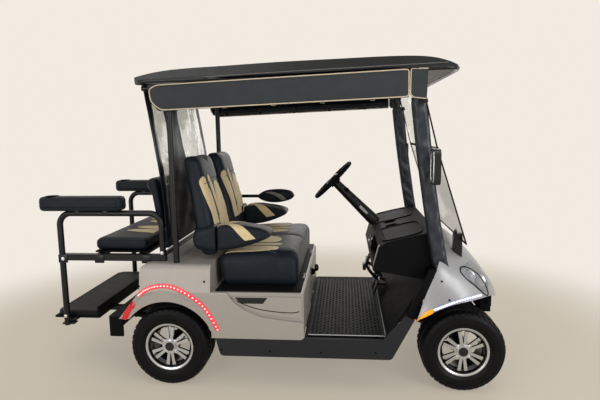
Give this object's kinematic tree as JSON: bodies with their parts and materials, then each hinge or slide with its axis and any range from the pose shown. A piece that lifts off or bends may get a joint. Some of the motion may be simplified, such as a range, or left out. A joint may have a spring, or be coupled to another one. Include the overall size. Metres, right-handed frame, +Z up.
{
  "type": "golf cart",
  "caption": "Two-seat electric golf cart with a roof, rolled side curtains, a windshield and a rear-facing flip seat over a tubular frame with a footplate.",
  "frame": {"origin": "on the ground under the middle of the cart's box", "axes": "+X towards the nose, +Y to the driver's left, +Z up"},
  "size_m": [2.635, 1.4, 1.8082],
  "materials": {
    "frame_black": "satin black powder coat",
    "axle_dark": "dark cast and drawn steel",
    "steel_bright": "zinc plated steel",
    "body_silver": "metallic silver paint",
    "trim_black": "grained black plastic",
    "gloss_black": "gloss black",
    "seat_vinyl": "charcoal vinyl with beige inserts",
    "curtain_fabric": "woven grey cloth",
    "clear_sheet": "clear acrylic",
    "soft_window": "soft clear vinyl with black borders",
    "lamp_clear": "clear lamp lens",
    "lamp_red": "red lamp lens",
    "mirror_glass": "mirror in a black case",
    "wheel_silver": "machined face with black pockets",
    "tyre": "low profile turf tyre",
    "mat_rubber": "ribbed rubber",
    "battery_case": "moulded case",
    "roof_black": "gloss black with a light grey underside"
  },
  "bodies": {
    "root": {"battery_block": "battery_case", "chassis_frame": "frame_black", "cowl_side_trims": "trim_black", "dashboard": "trim_black", "direction_selector": "gloss_black", "driver_seat_back": "seat_vinyl", "floor_mat": "mat_rubber", "floor_pan": "frame_black", "footplate": "trim_black", "front_axle": "axle_dark", "front_bumper": "trim_black", "front_cowl": "body_silver", "front_springs": "axle_dark", "front_struts": "gloss_black", "headlamps": "lamp_clear", "hip_restraint": "frame_black", "mirrors": "mirror_glass", "passenger_seat_back": "seat_vinyl", "pedals": "trim_black", "pod_inserts": "body_silver", "rear_armrests": "trim_black", "rear_axle": "axle_dark", "rear_backrest": "seat_vinyl", "rear_body": "body_silver", "rear_bumper": "trim_black", "rear_curtain": "soft_window", "rear_seat_frame": "frame_black", "rear_springs": "axle_dark", "rear_struts": "gloss_black", "rolled_curtains": "curtain_fabric", "roof": "roof_black", "roof_frame": "gloss_black", "seat_pod": "body_silver", "sills": "trim_black", "steering_column": "trim_black", "steering_rack": "axle_dark", "strut_sleeves": "curtain_fabric", "tail_lamps": "lamp_red", "windshield": "clear_sheet", "windshield_clamps": "gloss_black"},
    "seat_lid": {"front_seat_cushion": "seat_vinyl"},
    "flip_seat": {"rear_deck_panel": "trim_black", "rear_seat_cushion": "seat_vinyl"},
    "steering_wheel": {"steering_wheel": "trim_black"},
    "tie_rod": {"tie_rod": "steel_bright"},
    "knuckle_left": {"knuckle_left": "axle_dark"},
    "knuckle_right": {"knuckle_right": "axle_dark"},
    "wheel_front_left": {"rim_front_left": "wheel_silver", "tyre_front_left": "tyre"},
    "wheel_front_right": {"rim_front_right": "wheel_silver", "tyre_front_right": "tyre"},
    "wheel_rear_left": {"rim_rear_left": "wheel_silver", "tyre_rear_left": "tyre"},
    "wheel_rear_right": {"rim_rear_right": "wheel_silver", "tyre_rear_right": "tyre"}
  },
  "joints": [
    {"name": "spin_rear_left", "type": "hinge", "parent": "root", "child": "wheel_rear_left", "pos_m": [-0.5625, 0.4875, 0.23], "axis": [0, 1, 0], "continuous": true},
    {"name": "steer_left", "type": "hinge", "parent": "root", "child": "knuckle_left", "pos_m": [1.0775, 0.335, 0.23], "axis": [0, 0, 1], "range_deg": [-28, 28]},
    {"name": "spin_front_left", "type": "hinge", "parent": "knuckle_left", "child": "wheel_front_left", "pos_m": [1.0775, 0.4625, 0.23], "axis": [0, 1, 0], "continuous": true},
    {"name": "spin_rear_right", "type": "hinge", "parent": "root", "child": "wheel_rear_right", "pos_m": [-0.5625, -0.4875, 0.23], "axis": [0, 1, 0], "continuous": true},
    {"name": "steer_right", "type": "hinge", "parent": "root", "child": "knuckle_right", "pos_m": [1.0775, -0.335, 0.23], "axis": [0, 0, 1], "range_deg": [-28, 28]},
    {"name": "spin_front_right", "type": "hinge", "parent": "knuckle_right", "child": "wheel_front_right", "pos_m": [1.0775, -0.4625, 0.23], "axis": [0, 1, 0], "continuous": true},
    {"name": "steering_wheel_turn", "type": "hinge", "parent": "root", "child": "steering_wheel", "pos_m": [0.3525, 0.28, 1.098], "axis": [-0.7071, 0, 0.7071], "range_deg": [-281, 281]},
    {"name": "tie_rod_slide", "type": "slide", "parent": "root", "child": "tie_rod", "axis": [0, 1, 0], "range_m": [-0.054, 0.054]},
    {"name": "seat_lid_hinge", "type": "hinge", "parent": "root", "child": "seat_lid", "pos_m": [0.1895, 0, 0.5743], "axis": [0, 1, 0], "range_deg": [0, 40]},
    {"name": "flip_seat_hinge", "type": "hinge", "parent": "root", "child": "flip_seat", "pos_m": [-1.0565, 0, 0.74], "axis": [0, -1, 0], "range_deg": [0, 180]}
  ],
  "couplings": [
    {"joint": "steer_right", "follows": "steer_left", "ratio": 1},
    {"joint": "steering_wheel_turn", "follows": "steer_left", "ratio": 10},
    {"joint": "tie_rod_slide", "follows": "steer_left", "m_per_rad": -0.11}
  ]
}
